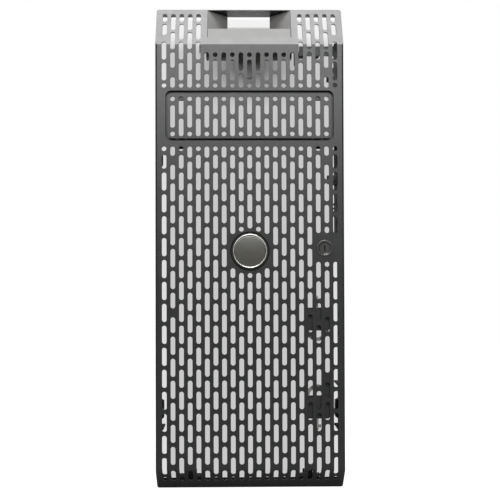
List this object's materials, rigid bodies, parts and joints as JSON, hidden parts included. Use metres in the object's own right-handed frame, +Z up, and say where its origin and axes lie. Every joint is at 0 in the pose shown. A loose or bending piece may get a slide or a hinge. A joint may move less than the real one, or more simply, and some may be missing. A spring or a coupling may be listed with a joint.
{
  "type": "server front bezel",
  "caption": "Lockable slotted front bezel for a tower server, with a drive-bay insert, a top handle pocket with a release latch, a turning round badge and stored keys.",
  "frame": {"origin": "middle of the lower edge of the rear rim, in the plane that meets the chassis", "axes": "+X to the bezel's right as seen from the front, +Y from the front face towards the chassis, +Z up"},
  "size_m": [0.175, 0.0525, 0.4525],
  "materials": {
    "shell_plastic": "satin charcoal moulding",
    "pocket_plastic": "satin black moulding",
    "collar_gloss": "glossy",
    "lock_metal": "brushed",
    "key_metal": "brushed",
    "screw_steel": "zinc plated",
    "spring_steel": "drawn wire",
    "badge_chrome": "polished",
    "badge_gloss": "glossy olive grey"
  },
  "bodies": {
    "bezel": {"bezel_shell": "shell_plastic", "drive_panel": "shell_plastic", "handle_pocket": "pocket_plastic", "pocket_screws": "screw_steel", "latch_housing": "shell_plastic", "latch_cover": "shell_plastic", "housing_screws": "screw_steel", "cover_screws": "screw_steel", "bar_guide_upper": "shell_plastic", "bar_guide_lower": "shell_plastic", "guide_screws": "screw_steel", "lock_collar": "collar_gloss", "lock_barrel": "lock_metal", "lock_nut": "screw_steel", "key_holder_upper": "pocket_plastic", "key_holder_lower": "pocket_plastic", "holder_screws": "screw_steel", "key_upper": "key_metal", "key_lower": "key_metal", "latch_spring": "spring_steel"},
    "latch": {"release_latch": "shell_plastic"},
    "lock_core": {"lock_plug": "lock_metal", "lock_cam": "screw_steel", "cam_screw": "screw_steel"},
    "lock_bar": {"lock_bar": "shell_plastic"},
    "badge": {"badge_carrier": "pocket_plastic", "badge_ring": "badge_chrome", "badge_face": "badge_gloss", "badge_clip": "spring_steel"}
  },
  "joints": [
    {"name": "latch_press", "type": "slide", "parent": "bezel", "child": "latch", "axis": [0, 0, -1], "range_m": [0, 0.005], "stiffness_N_per_m": 300, "springref_m": -0.01, "deforming": ["latch_spring"]},
    {"name": "lock_turn", "type": "hinge", "parent": "bezel", "child": "lock_core", "pos_m": [0.0693, 0, 0.2247], "axis": [0, 1, 0], "range_deg": [0, 90]},
    {"name": "bar_slide", "type": "slide", "parent": "bezel", "child": "lock_bar", "axis": [0, 0, -1], "range_m": [0, 0.00848]},
    {"name": "badge_turn", "type": "hinge", "parent": "bezel", "child": "badge", "pos_m": [0, 0, 0.2223], "axis": [0, 1, 0], "range_deg": [0, 90]}
  ],
  "couplings": [
    {"joint": "lock_turn", "follows": "bar_slide", "rad_per_m": 185.12}
  ]
}
